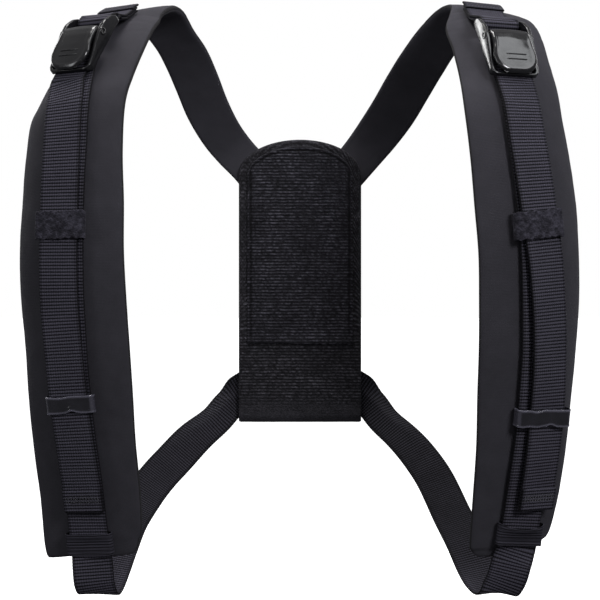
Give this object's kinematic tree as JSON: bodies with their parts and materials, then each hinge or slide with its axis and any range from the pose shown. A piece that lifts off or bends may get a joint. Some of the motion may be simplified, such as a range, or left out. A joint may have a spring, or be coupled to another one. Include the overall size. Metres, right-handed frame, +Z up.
{
  "type": "shoulder harness",
  "caption": "Black padded shoulder harness with webbing adjusters, lever cam buckles, keepers and a wrap-closed back pad.",
  "frame": {"origin": "between the wearer's shoulders, at the height where the two bands rest on them (mount shoulder_rest)", "axes": "+X to the viewer's right when the chest side is seen from the front (the wearer's left), -Y out of the wearer's chest, +Y out of the wearer's back, +Z up"},
  "size_m": [0.3603, 0.2089, 0.3892],
  "materials": {
    "jersey_black": "matte fine-knit stretch jersey",
    "jersey_lining": "matte fine-knit stretch jersey",
    "foam_black": "matte closed-cell foam",
    "webbing_black": "ribbed woven polyamide, slight sheen",
    "thread_grey": "bonded polyester thread",
    "buckle_plastic": "glossy moulded acetal",
    "pin_steel": "drawn",
    "pile_black": "matte ribbed loop pile",
    "keeper_rubber": "satin translucent elastomer",
    "hook_tape": "matte hook tape"
  },
  "bodies": {
    "harness": {"band_skin_left": "jersey_black", "band_foam_left": "foam_black", "band_lining_left": "jersey_lining", "band_skin_right": "jersey_black", "band_foam_right": "foam_black", "band_lining_right": "jersey_lining", "adjuster_webbing_left": "webbing_black", "anchor_tab_left": "webbing_black", "anchor_stitches_left": "thread_grey", "tail_bartack_left": "thread_grey", "buckle_frame_left": "buckle_plastic", "buckle_pin_left": "pin_steel", "upper_keeper_left": "pile_black", "lower_keeper_left": "webbing_black", "adjuster_webbing_right": "webbing_black", "anchor_tab_right": "webbing_black", "anchor_stitches_right": "thread_grey", "tail_bartack_right": "thread_grey", "buckle_frame_right": "buckle_plastic", "buckle_pin_right": "pin_steel", "upper_keeper_right": "pile_black", "lower_keeper_right": "webbing_black", "back_pad_face": "pile_black", "back_pad_foam": "foam_black", "back_pad_inset": "pile_black", "back_pad_fold": "pile_black", "band_end_stitches": "thread_grey", "webbing_end_stitches": "thread_grey"},
    "buckle_lever_left": {"buckle_lever_left": "buckle_plastic"},
    "buckle_lever_right": {"buckle_lever_right": "buckle_plastic"},
    "sliding_keeper_left": {"sliding_keeper_left": "keeper_rubber"},
    "sliding_keeper_right": {"sliding_keeper_right": "keeper_rubber"},
    "back_flap": {"back_flap": "pile_black", "hook_patch_upper": "hook_tape", "hook_patch_lower": "hook_tape"}
  },
  "joints": [
    {"name": "lever_hinge_left", "type": "hinge", "parent": "harness", "child": "buckle_lever_left", "pos_m": [-0.13866, -0.06584, -0.02071], "axis": [-0.8347, 0.5506, -0.0149], "range_deg": [0, 95]},
    {"name": "lever_hinge_right", "type": "hinge", "parent": "harness", "child": "buckle_lever_right", "pos_m": [0.1322, -0.06902, -0.02324], "axis": [-0.941, -0.3378, 0.0201], "range_deg": [0, 95]},
    {"name": "keeper_slide_left", "type": "slide", "parent": "harness", "child": "sliding_keeper_left", "axis": [-0.0962, -0.158, 0.9827], "range_m": [-0.007, 0.007]},
    {"name": "keeper_slide_right", "type": "slide", "parent": "harness", "child": "sliding_keeper_right", "axis": [0.0728, -0.1758, 0.9817], "range_m": [-0.007, 0.007]},
    {"name": "back_flap_hinge", "type": "hinge", "parent": "harness", "child": "back_flap", "pos_m": [0, 0.0965, -0.2714], "axis": [-1, 0, 0], "range_deg": [0, 120]}
  ]
}
